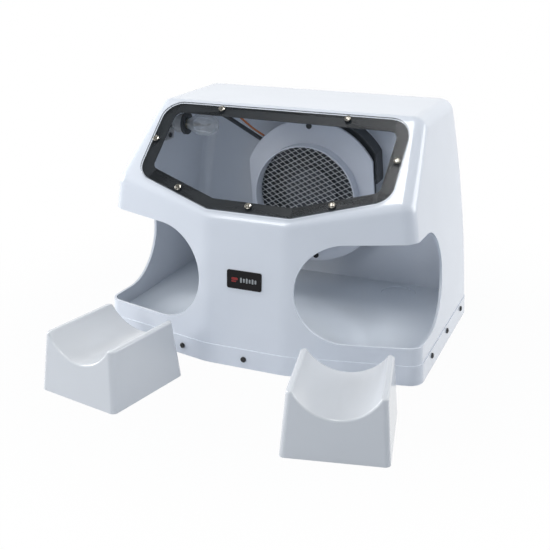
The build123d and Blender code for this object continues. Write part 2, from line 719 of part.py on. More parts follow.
def make_filament():
    """The glass stem, its two lead wires and the filament bow between them."""
    start = SOCKET_FACE_X + 1
    stem = lamp_profile([(start, 3.2), (start + 10, 2.0), (start + 16, 2.0), (start + 16, 1.0)])
    wires = stem
    for side in (-1, 1):
        lead = Rot(0, 0, 22 * side) * Rot(0, 90, 0) * Cylinder(0.35, 17)
        wires += Pos(start + 21, LAMP_Y + 3.6 * side, LAMP_Z) * lead
    bow = Pos(start + 28, LAMP_Y, LAMP_Z) * Rot(90, 0, 0) * Cylinder(0.5, 13.4)
    return only_solid(wires + bow)


def wire_tube(points, radius):
    """A wire of straight runs joined by tangent arcs as large as its runs allow."""
    vectors = [Vector(*p) for p in points]
    radii = []
    for a, b, c in zip(vectors, vectors[1:], vectors[2:]):
        half_turn = math.radians((b - a).get_angle(c - b)) / 2
        radii.append(0.45 * min((b - a).length, (c - b).length) / math.tan(half_turn))
    path = FilletPolyline(*points, radius=radii)
    print("wire", round(path.length, 1), "mm, radii", [round(r, 1) for r in radii])
    return only_solid(sweep(Plane(origin=path @ 0, z_dir=path % 0) * Circle(radius), path=path))


BLACK_WIRE = [
    (-157.0, 158.0, 263.4),
    (-154.0, 160.0, 270.0),
    (-138.0, 166.0, 272.5),
    (-120.0, 176.0, 267.5),
    (-108.0, 188.0, 257.5),
    (-99.0, 203.0, 246.0),
    (-90.0, 228.0, 229.5),
    (-84.0, 257.0, 213.0),
]
ORANGE_WIRE = [
    (-157.0, 151.5, 262.6),
    (-155.0, 152.5, 271.0),
    (-140.0, 158.0, 278.8),
    (-114.0, 166.0, 277.0),
    (-96.0, 184.0, 266.0),
    (-91.0, 207.0, 249.5),
    (-87.0, 226.0, 236.0),
    (-79.0, 257.0, 217.5),
]
BLACK_WIRE_RADIUS = 2.8
ORANGE_WIRE_RADIUS = 1.4


# ---------------------------------------------------------------- electrics
def make_wiring_cover():
    """The box inside the hood that shields the mains parts on the rear wall."""
    width, height, depth = COVER_SIZE
    place = rear_place(COVER_CENTRE_X, ELECTRICS_Z) * Pos(0, 0, -HOOD_WALL)
    block = Pos(0, 0, -depth / 2) * Box(width, height, depth)
    edges = block.edges().filter_by(Axis.Z) + block.faces().sort_by(Axis.Z)[0].edges()
    block = fillet(edges, 5)
    hollow = Pos(0, 0, -(depth - 2) / 2) * Box(width - 4, height - 4, depth - 2)
    return only_solid(place * (block - hollow))


def make_power_inlet():
    """A three-pin appliance inlet: flange outside, body and contact well inside."""
    flange = extrude(RectangleRounded(48, 24, 6), 2.5)
    body = Pos(0, 0, -10) * Box(27.4, 20, 20)
    inlet = flange + body
    inlet -= Pos(0, 0, -5) * Box(24, 16.4, 15)
    inlet += Pos(0, -4.0, -5) * Box(7, 8.4, 15) & Pos(0, 0, -5) * Box(24, 16.4, 15)
    for x in (-20, 20):
        inlet -= Pos(x, 0, 0) * Cylinder(CLEAR_M3, 20)
    return only_solid(rear_place(INLET_CENTRE_X, ELECTRICS_Z) * inlet)


def make_inlet_pins():
    place = rear_place(INLET_CENTRE_X, ELECTRICS_Z)
    pin = Box(2.0, 4.0, 12.0)
    return group([place * Pos(x, y, -6.5) * pin for x, y in ((-7, 1.5), (7, 1.5), (0, 4.0))])


def make_inlet_screws():
    place = rear_place(INLET_CENTRE_X, ELECTRICS_Z)
    return group([place * Pos(x, 0, 2.5) * screw(2.8, 1.8, 1.5, 8.0) for x in (-20, 20)])


def make_switch_frames():
    """Two rocker switch bodies, each with a flange outside and a well for its rocker."""
    frames = []
    for x in (FAN_SWITCH_X, LAMP_SWITCH_X):
        flange = extrude(RectangleRounded(15, 21, 1.5), 1.6)
        body = Pos(0, 0, -7) * Box(12.6, 18.8, 14)
        well = Pos(0, 0, -0.9) * Box(11.0, 17.6, 5.2)
        frames.append(rear_place(x, ELECTRICS_Z) * (flange + body - well))
    return group(frames)


def make_rocker(x):
    """A rocker cap with two dished halves, pressed at its lower end when off."""
    profile = make_face(Polyline((-8, -1.2), (8, -1.2), (8, 1.9), (0, 0.8), (-8, 1.9), close=True))
    cap = Pos(-5.2, 0, 0) * (Plane.YZ * extrude(profile, 10.4))
    return only_solid(rear_place(x, ELECTRICS_Z) * Pos(0, 0, 0.7) * Rot(ROCKER_THROW, 0, 0) * cap)


def make_terminal_block():
    """A three-way screw terminal strip under the inlet."""
    block = Box(30, 10, 10)
    for x in (-10, 0, 10):
        block -= Pos(x, 0, 4) * Cylinder(2.4, 8) + Pos(x, 0, -1) * Rot(90, 0, 0) * Cylinder(1.6, 20)
    place = rear_place(INLET_CENTRE_X, ELECTRICS_Z - 15.2) * Pos(0, 0, -HOOD_WALL - 8)
    return only_solid(place * Rot(180, 0, 0) * block)


def make_capacitor():
    """The motor's run capacitor, above the inlet."""
    block = Box(34, 9, 20)
    block = fillet(block.edges().filter_by(Axis.Z), 1.5)
    return only_solid(rear_place(INLET_CENTRE_X, ELECTRICS_Z + 15.2) * Pos(0, 0, -HOOD_WALL - 12) * block)


# ---------------------------------------------------------------- armrests
def rest_form(inset, saddle):
    """A drafted block with a cylindrical saddle along its length, moved in by inset."""
    block = Pos(0, 0, REST_HEIGHT / 2) * Box(2 * REST_WIDTH, 2 * REST_LENGTH, REST_HEIGHT)
    drafts = [
        (Vector(REST_WIDTH / 2, 0, 0), Vector(REST_HEIGHT, 0, REST_WIDTH_DRAFT)),
        (Vector(-REST_WIDTH / 2, 0, 0), Vector(-REST_HEIGHT, 0, REST_WIDTH_DRAFT)),
        (Vector(0, REST_LENGTH / 2, 0), Vector(0, REST_HEIGHT, REST_LENGTH_DRAFT)),
        (Vector(0, -REST_LENGTH / 2, 0), Vector(0, -REST_HEIGHT, REST_LENGTH_DRAFT)),
    ]
    for point, slant in drafts:
        normal = slant.normalized()
        block = half_space(block, point - normal * inset, normal)
    block = half_space(block, Vector(0, 0, REST_HEIGHT - inset), Vector(0, 0, 1))
    block = only_solid(block)
    corners = [e for e in block.edges() if abs(e.tangent_at(0.5).Z) > 0.9]
    block = fillet(corners, REST_CORNER_RADIUS - inset)
    trough = Rot(90, 0, 0) * Cylinder(saddle, 3 * REST_LENGTH)
    return only_solid(block - Pos(0, 0, REST_HEIGHT - SADDLE_DEPTH + SADDLE_RADIUS) * trough)


def make_rest(name):
    """A hollow armrest, open underneath, standing on the table in front of the hood."""
    outer = rest_form(0, SADDLE_RADIUS)
    rims = [e for e in outer.edges() if e.center().Z > REST_HEIGHT - SADDLE_DEPTH - 1]
    rims = [e for e in rims if abs(e.tangent_at(0.5).Z) < 0.9]
    outer = only_solid(fillet(rims, REST_RIM_RADIUS))
    rest = outer - rest_form(REST_WALL, SADDLE_RADIUS + REST_WALL)
    x, y, turn = REST_PLACES[name]
    return only_solid(Pos(x, y, 0) * Rot(0, 0, turn) * rest)


# ---------------------------------------------------------------- nodes
NODES = {
    "hood_shell": make_hood,
    "base_tray": make_tray,
    "tray_screws": make_tray_screws,
    "rubber_feet": make_feet,
    "window_gasket": make_gasket,
    "window_pane": make_pane,
    "window_screws": make_window_screws,
    "window_nuts": make_window_nuts,
    "badge_plate": make_badge,
    "blower_plate": make_blower_plate,
    "intake_collar": make_collar,
    "intake_mesh": make_mesh,
    "scroll_housing": make_scroll,
    "plate_screws": make_plate_screws,
    "motor_bracket": make_motor_bracket,
    "motor_stator": make_stator,
    "motor_bearings": make_bearings,
    "motor_shaft": make_shaft,
    "motor_rotor": make_rotor,
    "blower_wheel": make_wheel,
    "exhaust_spigot": make_spigot,
    "exhaust_guard": make_guard,
    "spigot_screws": make_spigot_screws,
    "lamp_bracket": make_lamp_bracket,
    "lamp_screws": make_lamp_screws,
    "lamp_socket": make_socket,
    "bulb_cap": make_bulb_cap,
    "bulb_glass": make_bulb,
    "bulb_filament": make_filament,
    "wire_black": lambda: wire_tube(BLACK_WIRE, BLACK_WIRE_RADIUS),
    "wire_orange": lambda: wire_tube(ORANGE_WIRE, ORANGE_WIRE_RADIUS),
    "wiring_cover": make_wiring_cover,
    "power_inlet": make_power_inlet,
    "inlet_pins": make_inlet_pins,
    "inlet_screws": make_inlet_screws,
    "switch_frames": make_switch_frames,
    "fan_rocker": lambda: make_rocker(FAN_SWITCH_X),
    "lamp_rocker": lambda: make_rocker(LAMP_SWITCH_X),
    "terminal_block": make_terminal_block,
    "run_capacitor": make_capacitor,
    "armrest_left": lambda: make_rest("armrest_left"),
    "armrest_right": lambda: make_rest("armrest_right"),
}


def main():
    """Write one STEP file per node, with the origin under the middle of the hood."""
    os.makedirs("parts", exist_ok=True)
    to_origin = Pos(0, -HOOD_DEPTH / 2, 0)
    for name, make in NODES.items():
        solids = [to_origin * solid for solid in make().solids()]
        node = solids[0] if len(solids) == 1 else Compound(children=solids)
        export_step(node, f"parts/{name}.step")


main()
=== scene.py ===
"""Desktop nail dust collector: its finishes and fine pieces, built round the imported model.

Every length is in metres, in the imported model's own frame: +X is the user's right, +Y points
away from the user and +Z is up, with the origin on the table under the middle of the hood.
"""
import math

import bpy
import numpy as np
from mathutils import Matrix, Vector


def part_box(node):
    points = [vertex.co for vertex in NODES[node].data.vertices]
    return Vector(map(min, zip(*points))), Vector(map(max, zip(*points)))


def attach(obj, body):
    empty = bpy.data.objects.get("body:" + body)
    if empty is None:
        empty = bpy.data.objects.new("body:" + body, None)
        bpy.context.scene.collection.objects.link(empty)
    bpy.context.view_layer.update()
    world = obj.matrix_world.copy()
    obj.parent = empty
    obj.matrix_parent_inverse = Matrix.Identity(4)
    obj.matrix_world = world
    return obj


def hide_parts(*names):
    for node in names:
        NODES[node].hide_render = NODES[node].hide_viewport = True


bl_info = {
    "name": "Nail Dust Collector",
    "version": (1, 0, 0),
    "blender": (4, 5, 0),
    "location": "View3D > Sidebar > Collector",
    "description": "Finishes and fine pieces for a desktop nail dust collector",
    "category": "Object",
}

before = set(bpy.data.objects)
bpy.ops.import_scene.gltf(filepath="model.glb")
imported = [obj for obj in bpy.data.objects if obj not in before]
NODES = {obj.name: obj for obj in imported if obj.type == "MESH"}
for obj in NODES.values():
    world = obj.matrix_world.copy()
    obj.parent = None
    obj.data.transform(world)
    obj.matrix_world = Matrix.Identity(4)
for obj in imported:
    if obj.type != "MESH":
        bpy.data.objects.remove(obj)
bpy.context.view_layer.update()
MM = 0.001
FULL_TURN = 2 * math.pi
FRONT = np.array([0.0, -1.0, 0.0])
UP = np.array([0.0, 0.0, 1.0])


# ---------------------------------------------------------------- settings
def colour_prop(name, description, default):
    """A linear colour that a user can change."""
    return bpy.props.FloatVectorProperty(
        name=name, description=description, subtype="COLOR", size=3, min=0, max=1, default=default
    )


def length_prop(name, description, default):
    """A length in metres that a user can change."""
    return bpy.props.FloatProperty(
        name=name, description=description, default=default, min=0, unit="LENGTH", precision=5
    )


def power_prop(name, description, default):
    """A lamp power in watts that a user can change."""
    return bpy.props.FloatProperty(
        name=name, description=description, default=default, min=0, unit="POWER"
    )


def share_prop(name, description, default):
    """A share from 0 to 1 that a user can change."""
    return bpy.props.FloatProperty(
        name=name, description=description, default=default, min=0, max=1, subtype="FACTOR"
    )


def group_prop(name, description, kind):
    """A group of settings."""
    return bpy.props.PointerProperty(name=name, description=description, type=kind)


class HousingSettings(bpy.types.PropertyGroup):
    hood: colour_prop("Hood", "Pearl-white plastic of the hood", (0.82, 0.855, 0.92))
    tray: colour_prop("Tray", "Glossy plastic of the base tray", (0.82, 0.87, 0.93))
    rests: colour_prop("Armrests", "Plastic of the two armrests", (0.80, 0.815, 0.84))
    inside: colour_prop("Blower plate", "Paint of the blower's front plate", (0.84, 0.87, 0.94))
    roughness: share_prop("Roughness", "Roughness of the moulded plastic", 0.24)


class WindowSettings(bpy.types.PropertyGroup):
    # The tint also shows nearly opaque on the sheet's cut edges, as a painted refraction of the
    # black border.
    tint: colour_prop("Tint", "Colour of the clear sheet", (0.07, 0.085, 0.10))
    haze: share_prop("Haze", "Share of the light that the clear sheet stops", 0.05)
    band: colour_prop("Border", "Black border under the sheet's edge", (0.018, 0.022, 0.026))


class GrilleSettings(bpy.types.PropertyGroup):
    diamond_width: length_prop("Diamond width", "Long diagonal of one opening", 11.5 * MM)
    diamond_height: length_prop("Diamond height", "Short diagonal of one opening", 7.3 * MM)
    strand_width: length_prop("Strand width", "Width of one strand of the mesh", 0.66 * MM)
    strand_depth: length_prop("Strand depth", "Thickness of one strand of the mesh", 0.8 * MM)
    roll: bpy.props.FloatProperty(
        name="Roll",
        description="Turn of the pattern in the blower's plane",
        default=math.radians(4.3),
        subtype="ANGLE",
    )


class BadgeSettings(bpy.types.PropertyGroup):
    red: colour_prop("Red marks", "Colour of the left marks", (0.30, 0.012, 0.012))
    grey: colour_prop("Grey marks", "Colour of the right marks", (0.36, 0.38, 0.39))


class StageSettings(bpy.types.PropertyGroup):
    table: colour_prop("Table", "Colour of the table", (0.42, 0.46, 0.52))
    top: power_prop("Top light", "Power of the overhead panel", 7.2)
    key: power_prop("Key light", "Power of the panel in front on the left", 4.9)
    left: power_prop("Left light", "Power of the panel beside it on the left", 10.5)
    right: power_prop("Right light", "Power of the panel behind it on the right", 7.0)
    sky: bpy.props.FloatProperty(
        name="Room light", description="Even light of the room", default=0.37, min=0
    )


class CollectorSettings(bpy.types.PropertyGroup):
    housing: group_prop("Housing", "Plastics of the hood, tray and armrests", HousingSettings)
    window: group_prop("Window", "The clear sheet and its border", WindowSettings)
    grille: group_prop("Intake mesh", "The diamond mesh over the intake", GrilleSettings)
    badge: group_prop("Badge", "The marks on the badge", BadgeSettings)
    stage: group_prop("Stage", "The table and the lights", StageSettings)


# ---------------------------------------------------------------- finishes
USUAL_NOISE = (0.25, 0.75)  # nearly every value of a noise pattern lies in here
TONE_SCALE = 14.0  # patches of tone in plastic, per metre
METAL_TONE_SCALE = 240.0
SMEAR_SCALE = 35.0


def new_material(name):
    """An empty node material: returns it with its node tree, shader and Object coordinates."""
    material = bpy.data.materials.new(name)
    material.use_nodes = True
    tree = material.node_tree
    place = tree.nodes.new("ShaderNodeTexCoord")
    return material, tree, tree.nodes["Principled BSDF"], place.outputs["Object"]


def remap(tree, value, source, target, smooth=False):
    """The value carried from the source range to the target range, and held at its ends."""
    node = tree.nodes.new("ShaderNodeMapRange")
    node.interpolation_type = "SMOOTHSTEP" if smooth else "LINEAR"
    for socket, number in zip(("From Min", "From Max", "To Min", "To Max"), (*source, *target)):
        node.inputs[socket].default_value = number
    tree.links.new(value, node.inputs["Value"])
    return node.outputs["Result"]


def combine(tree, operation, *values):
    """Values put through one math operation."""
    node = tree.nodes.new("ShaderNodeMath")
    node.operation = operation
    for socket, value in zip(node.inputs, values):
        tree.links.new(value, socket)
    return node.outputs["Value"]


def noise(tree, place, scale, detail=2.0):
    """A noise pattern with features about 1 / scale metres across."""
    node = tree.nodes.new("ShaderNodeTexNoise")
    node.inputs["Scale"].default_value = scale
    node.inputs["Detail"].default_value = detail
    tree.links.new(place, node.inputs["Vector"])
    return node.outputs["Fac"]


def vary_colour(tree, shader, value, first, second):
    """Base colour that goes from the first tone to the second as the value goes from 0 to 1."""
    node = tree.nodes.new("ShaderNodeMix")
    node.data_type = "RGBA"
    node.inputs["A"].default_value = (*first, 1)
    node.inputs["B"].default_value = (*second, 1)
    tree.links.new(value, node.inputs["Factor"])
    tree.links.new(node.outputs["Result"], shader.inputs["Base Color"])


def patch_tones(tree, shader, place, colour, scale, dull):
    """Base colour in soft patches between the colour and the same colour times dull."""
    duller = tuple(channel * dull for channel in colour)
    patches = remap(tree, noise(tree, place, scale), USUAL_NOISE, (0, 1))
    vary_colour(tree, shader, patches, colour, duller)


def bump(tree, shader, height, distance):
    """Bump of the given depth in metres."""
    node = tree.nodes.new("ShaderNodeBump")
    node.inputs["Strength"].default_value = 1.0
    node.inputs["Distance"].default_value = distance
    tree.links.new(height, node.inputs["Height"])
    tree.links.new(node.outputs["Normal"], shader.inputs["Normal"])


def moulded(name, colour, roughness, coat=0.0, grain=400.0, depth=0.004 * MM, specular=0.5):
    """Moulded plastic, rubber or paint: close tones, even gloss and a fine skin."""
    material, tree, shader, place = new_material(name)
    patch_tones(tree, shader, place, colour, TONE_SCALE, 0.965)
    bump(tree, shader, noise(tree, place, grain), depth)
    shader.inputs["Roughness"].default_value = roughness
    shader.inputs["Coat Weight"].default_value = coat
    shader.inputs["Coat Roughness"].default_value = 0.06
    shader.inputs["Specular IOR Level"].default_value = specular
    return material


def metal(name, colour, roughness, bare=1.0):
    """Metal with fine uneven gloss: bare is 1 for a clean surface and less for a dull skin."""
    material, tree, shader, place = new_material(name)
    grain = 900.0
    patch_tones(tree, shader, place, colour, METAL_TONE_SCALE, 0.86)
    uneven = (roughness * 0.8, roughness * 1.3)
    gloss = remap(tree, noise(tree, place, grain, 3.0), USUAL_NOISE, uneven)
    tree.links.new(gloss, shader.inputs["Roughness"])
    bump(tree, shader, noise(tree, place, grain), 0.01 * MM)
    shader.inputs["Metallic"].default_value = bare
    return material


def clear_sheet(name, tint, haze, normal):
    """Clear sheet: nearly all seen through on its faces; its cut edges turn mostly opaque in the
    dark tint, a painted refraction of the black border seen through them.
    """
    material, tree, shader, place = new_material(name)
    shader.inputs["Base Color"].default_value = (*tint, 1)
    shader.inputs["Roughness"].default_value = 0.04
    shape = tree.nodes.new("ShaderNodeNewGeometry")
    across = tree.nodes.new("ShaderNodeVectorMath")
    across.operation = "DOT_PRODUCT"
    across.inputs[1].default_value = normal
    tree.links.new(shape.outputs["True Normal"], across.inputs[0])
    facing = combine(tree, "ABSOLUTE", across.outputs["Value"])
    # Painted refraction: the cut edges show the dark tint nearly opaque, standing in for the black
    # border seen through them.
    painted_refraction_alpha = 0.75
    alpha = remap(tree, facing, (0.2, 0.9), (painted_refraction_alpha, haze))
    smears = remap(tree, noise(tree, place, SMEAR_SCALE, 3.0), USUAL_NOISE, (0.9, 1.1))
    tree.links.new(combine(tree, "MULTIPLY", alpha, smears), shader.inputs["Alpha"])
    return material


def clear_glass(name, tint, face_alpha):
    """Thin blown glass: seen through where it faces the viewer, and turning opaque in its pale
    colour towards its rim, a painted highlight of the rim's reflection.
    """
    material, tree, shader, _ = new_material(name)
    shader.inputs["Base Color"].default_value = (*tint, 1)
    shader.inputs["Roughness"].default_value = 0.03
    rim = tree.nodes.new("ShaderNodeLayerWeight")
    rim.inputs["Blend"].default_value = 0.35
    # Painted highlight: the pale colour grows opaque as the surface turns away from the viewer.
    rim_highlight_alpha = 0.8
    alpha = remap(tree, rim.outputs["Facing"], (0, 1), (face_alpha, rim_highlight_alpha))
    tree.links.new(alpha, shader.inputs["Alpha"])
    return material


def rimmed(name, body, rim, start):
    """Glazed body with a dark rim from a place on the x axis onwards."""
    material, tree, shader, place = new_material(name)
    split = tree.nodes.new("ShaderNodeSeparateXYZ")
    tree.links.new(place, split.inputs[0])
    beyond = remap(tree, split.outputs["X"], (start, start + 0.2 * MM), (0, 1))
    vary_colour(tree, shader, beyond, body, rim)
    shader.inputs["Roughness"].default_value = 0.32
    bump(tree, shader, noise(tree, place, 900.0), 0.004 * MM)
    return material


def dress(material, *names):
    """Give CAD nodes a finish."""
    for name in names:
        data = NODES[name].data
        data.materials.clear()
        data.materials.append(material)


# ---------------------------------------------------------------- surfaces
def join_grids(grids):
    """Several surfaces as one: all their points, and all their faces as lists of corners.

    A surface is its points with blocks of faces, and each block is an array of corner numbers.
    """
    points, faces, start = [], [], 0
    for grid_points, blocks in grids:
        points.append(grid_points)
        for block in blocks:
            faces += (block + start).tolist()
        start += len(grid_points)
    return np.concatenate(points), faces


def ring_faces(rows, columns):
    """Blocks of faces for a grid whose rows close into rings: the quads, then the two caps."""
    row, column = np.meshgrid(np.arange(rows - 1), np.arange(columns), indexing="ij")
    near, far = row * columns, (row + 1) * columns
    mate = (column + 1) % columns
    quads = np.stack([near + column, near + mate, far + mate, far + column], axis=-1)
    ring = np.arange(columns)
    caps = np.stack([ring[::-1], (rows - 1) * columns + ring])
    return quads.reshape(-1, 4), caps


def make_piece(name, grids, material, smooth_angle=40.0):
    """A new mesh object that rides on the collector and takes its finish from a slot."""
    points, faces = join_grids(grids)
    mesh = bpy.data.meshes.new(name)
    mesh.from_pydata(points.tolist(), [], faces)
    mesh.polygons.foreach_set("use_smooth", np.ones(len(mesh.polygons), bool))
    mesh.set_sharp_from_angle(angle=math.radians(smooth_angle))
    mesh.materials.append(material)
    piece = bpy.data.objects.new(name, mesh)
    bpy.context.scene.collection.objects.link(piece)
    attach(piece, "collector")
    return piece


def merged_solids(node):
    """The separate solids of a CAD node: lists of (points, triangles) with shared corners.

    Corners at one place become one point, then each point takes the lowest label among its
    triangles until nothing changes, so that each solid ends with one label.
    """
    mesh = NODES[node].data
    corners = np.empty(len(mesh.vertices) * 3)
    mesh.vertices.foreach_get("co", corners)
    mesh.calc_loop_triangles()
    triangles = np.empty(len(mesh.loop_triangles) * 3, np.int64)
    mesh.loop_triangles.foreach_get("vertices", triangles)
    rounded = np.round(corners.reshape(-1, 3), 7)
    points, same = np.unique(rounded, axis=0, return_inverse=True)
    triangles = same.reshape(-1)[triangles].reshape(-1, 3)
    label = np.arange(len(points))
    while True:
        lowest = label[triangles].min(axis=1)
        fresh = label.copy()
        for corner in range(3):
            np.minimum.at(fresh, triangles[:, corner], lowest)
        fresh = fresh[fresh]
        if np.array_equal(fresh, label):
            break
        label = fresh
    owner = label[triangles[:, 0]]
    return [(points, triangles[owner == solid]) for solid in np.unique(owner)]


def facets(points, triangles):
    """Unit normals, doubled areas and middles of triangles."""
    a, b, c = (points[triangles[:, corner]] for corner in range(3))
    cross = np.cross(b - a, c - a)
    area = np.linalg.norm(cross, axis=1)
    return cross / np.maximum(area, 1e-18)[:, None], area, (a + b + c) / 3


def facing_axes(normal, area):
    """How much a surface faces along each of its main axes, and the axes, least faced first.

    They are the eigenvalues and eigenvectors of the sum of each normal's outer product with
    itself, weighted by area.
    """
    return np.linalg.eigh((normal * area[:, None]).T @ normal)


def distance_from_axis(points, foot, axis):
    """How far points lie along an axis from its foot, and how far away from it."""
    along = (points - foot) @ axis
    return along, np.linalg.norm(points - foot - np.outer(along, axis), axis=1)


def turned_axis(points, triangles):
    """The axis of a turned solid, with the middles of its thin end and its thick end.

    A solid of revolution has one main facing axis unlike the other two, and that is its own.
    The axis points to the end with the larger radius.
    """
    normal, area, middles = facets(points, triangles)
    values, vectors = facing_axes(normal, area)
    lone = 0 if values[1] - values[0] > values[2] - values[1] else 2
    axis = vectors[:, lone]
    middle = (middles * area[:, None]).sum(0) / area.sum()
    along, radius = distance_from_axis(points[np.unique(triangles)], middle, axis)
    half = (along.max() + along.min()) / 2
    if radius[along > half].max() < radius[along <= half].max():
        axis, along = -axis, -along
    return axis, middle + axis * along.min(), middle + axis * along.max()


def plate_normal(node, towards):
    """The normal of a flat plate, which most of its area faces, on the side it is towards."""
    normal, area, _ = facets(*merged_solids(node)[0])
    _, vectors = facing_axes(normal, area)
    axis = vectors[:, 2]
    return axis * (1 if axis @ towards >= 0 else -1)


def across_frame(axis, hint, roll=0.0):
    """Two unit vectors square to the axis: the hint laid flat and turned by roll, and its mate."""
    first = np.asarray(hint, float) - axis * (np.asarray(hint, float) @ axis)
    first /= np.linalg.norm(first)
    second = np.cross(axis, first)
    return (
        first * math.cos(roll) + second * math.sin(roll),
        second * math.cos(roll) - first * math.sin(roll),
    )


# ---------------------------------------------------------------- fasteners
# Shares of a pan head's radius or height.
DOME_RADIUS, DOME_HEIGHT, DOME_POWER = 0.96, 0.32, 2.4
SHOULDER, SKIRT, FOOT_RADIUS = 0.14, 0.08, 0.97
CROSS_HALF_WIDTH, CROSS_REACH, CROSS_DEPTH = 0.17, 0.58, 0.42
# Mean radius of a thread, and how far it swells and shrinks, as shares of the shank's radius.
THREAD_MEAN, THREAD_SWELL = 0.94, 0.06
COARSE_THREAD, FINE_THREAD = 0.7 * MM, 0.5 * MM


def screw_surface(head_radius, head_height, shank_radius, length, pitch, turn):
    """A pan-head screw with a cross recess: points round its own z axis, head top at z = 0.

    The profile runs from the middle of the head over a dome, down its side, in under it and down
    the shank, whose radius swells and shrinks along the thread. Each profile ring is turned round
    the axis. Points of the top that lie inside a cross are sunk, deepest at its middle.
    """
    columns = 64
    share = np.linspace(0.02, 1, 22)
    dome = DOME_HEIGHT * head_height
    top_r = share * head_radius * DOME_RADIUS
    top_z = -dome * share**DOME_POWER
    side_r = np.array([1, 1, FOOT_RADIUS]) * head_radius
    side_z = np.array([-dome - SHOULDER * head_height, (SKIRT - 1) * head_height, -head_height])
    end_z = -head_height - length
    rings = max(6, int(4 * (length / pitch)))
    thread_z = np.linspace(-head_height - 0.01 * MM, end_z, rings)
    thread_r = THREAD_MEAN + THREAD_SWELL * np.cos(FULL_TURN * thread_z / pitch)
    radius = np.concatenate([top_r, side_r, shank_radius * thread_r, [shank_radius * 0.5]])
    height = np.concatenate([top_z, side_z, thread_z, [end_z]])
    angle = np.arange(columns) * FULL_TURN / columns
    x = radius[:, None] * np.cos(angle)
    y = radius[:, None] * np.sin(angle)
    z = np.repeat(height[:, None], columns, axis=1)
    turned_x = abs(x * math.cos(turn) + y * math.sin(turn))
    turned_y = abs(y * math.cos(turn) - x * math.sin(turn))
    narrow = np.minimum(turned_x, turned_y) / (CROSS_HALF_WIDTH * head_radius)
    reach = np.maximum(turned_x, turned_y) / (CROSS_REACH * head_radius)
    # Both are 1 on the cross's outline, and the recess fades out just beyond it.
    inside = np.clip(3.5 - 2.5 * narrow, 0, 1) * np.clip(8 - 7 * reach, 0, 1)
    sunk = inside * CROSS_DEPTH * head_height * (1.15 - 0.4 * reach)
    z[: len(top_r)] -= sunk[: len(top_r)]
    points = np.stack([x, y, z], axis=-1).reshape(-1, 3)
    return points, ring_faces(len(radius), columns)


def screws_for(node, material, pitch):
    """Detailed screws in place of a CAD node's plain ones, each on its own solid's axis."""
    grids = []
    for index, (points, triangles) in enumerate(merged_solids(node)):
        axis, foot, crown = turned_axis(points, triangles)
        along, radius = distance_from_axis(points[np.unique(triangles)], foot, axis)
        total, head_radius = along.max(), radius.max()
        shank_radius = radius[along < 0.3 * total].max()
        head_height = total - along[radius > 0.9 * head_radius].min()
        length, turn = total - head_height, 0.7 * index
        local, blocks = screw_surface(
            head_radius, head_height, shank_radius, length, pitch, turn
        )
        first, second = across_frame(axis, hint=(0.9, 0.1, 0.3))
        grids.append((crown + local @ np.stack([first, second, axis]), blocks))
    piece = make_piece(node + "_detailed", grids, material, 35)
    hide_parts(node)


class COLLECTOR_OT_fasteners(bpy.types.Operator):
    """Make the screws with their cross recesses, and finish the nuts"""

    bl_idname = "collector.fasteners"
    bl_label = "Fasteners"

    def execute(self, context):
        chrome = metal("bright_plated_steel", (0.50, 0.48, 0.43), 0.28)
        black = moulded("black_oxide", (0.012, 0.013, 0.015), 0.34, grain=1500, specular=0.6)
        screws_for("window_screws", chrome, COARSE_THREAD)
        screws_for("tray_screws", black, COARSE_THREAD)
        screws_for("plate_screws", black, COARSE_THREAD)
        screws_for("spigot_screws", chrome, FINE_THREAD)
        screws_for("lamp_screws", black, FINE_THREAD)
        screws_for("inlet_screws", chrome, FINE_THREAD)
        dress(metal("zinc_steel", (0.60, 0.61, 0.62), 0.30), "window_nuts")
        return {"FINISHED"}


# ---------------------------------------------------------------- hood, tray and window
class COLLECTOR_OT_housing(bpy.types.Operator):
    """Finish the hood, the base tray, the feet and the armrests"""

    bl_idname = "collector.housing"
    bl_label = "Hood, tray and armrests"

    def execute(self, context):
        chosen = context.scene.collector.housing
        rough = chosen.roughness
        pearl = moulded("pearl_plastic", tuple(chosen.hood), rough, coat=0.35)
        glossy = moulded("tray_plastic", tuple(chosen.tray), rough * 0.6, coat=0.5)
        plain = moulded("armrest_plastic", tuple(chosen.rests), rough, coat=0.35)
        rubber = moulded("foot_rubber", (0.02, 0.02, 0.022), 0.75, grain=1800, depth=0.04 * MM)
        dress(pearl, "hood_shell")
        dress(glossy, "base_tray")
        dress(plain, "armrest_left", "armrest_right")
        dress(rubber, "rubber_feet")
        return {"FINISHED"}


class COLLECTOR_OT_window(bpy.types.Operator):
    """Finish the clear sheet and the black border under its edge"""

    bl_idname = "collector.window"
    bl_label = "Window"

    def execute(self, context):
        chosen = context.scene.collector.window
        normal = tuple(plate_normal("window_pane", UP))
        dress(clear_sheet("clear_sheet", tuple(chosen.tint), chosen.haze, normal), "window_pane")
        dress(moulded("black_border", tuple(chosen.band), 0.45, grain=1200), "window_gasket")
        return {"FINISHED"}


# ---------------------------------------------------------------- badge
PLATE_TO_MARK = 0.60 * MM
MARK_HALF_DEPTH = 0.14 * MM
# Bars in millimetres from the middle of the badge: across, up, half width and half height.
RED_BARS = ((-11.6, 0.9, 3.9, 1.5), (-12.6, -2.2, 2.9, 0.8))
GREY_BARS = tuple((-3.6 + 3.6 * step, 0, 1.05, 3.0 - 0.7 * (step % 2)) for step in range(6))


def pillow(half, power=6.0):
    """A flat bar with soft corners: a superellipsoid with its poles on the long axis.

    x = a cos(u), y = b sin(u) cos(v), z = c sin(u) sin(v), each sine and cosine raised to
    2 / power with its own sign kept.
    """
    rows, columns, pole = 9, 24, 0.12
    u = np.linspace(pole, math.pi - pole, rows)[:, None]
    v = np.arange(columns)[None, :] * FULL_TURN / columns

    def soft(value):
        return np.sign(value) * abs(value) ** (2 / power)

    x = half[0] * soft(np.cos(u)) * np.ones_like(v)
    y = half[1] * soft(np.sin(u)) * soft(np.cos(v))
    z = half[2] * soft(np.sin(u)) * soft(np.sin(v))
    return np.stack([x, y, z], axis=-1).reshape(-1, 3), ring_faces(rows, columns)


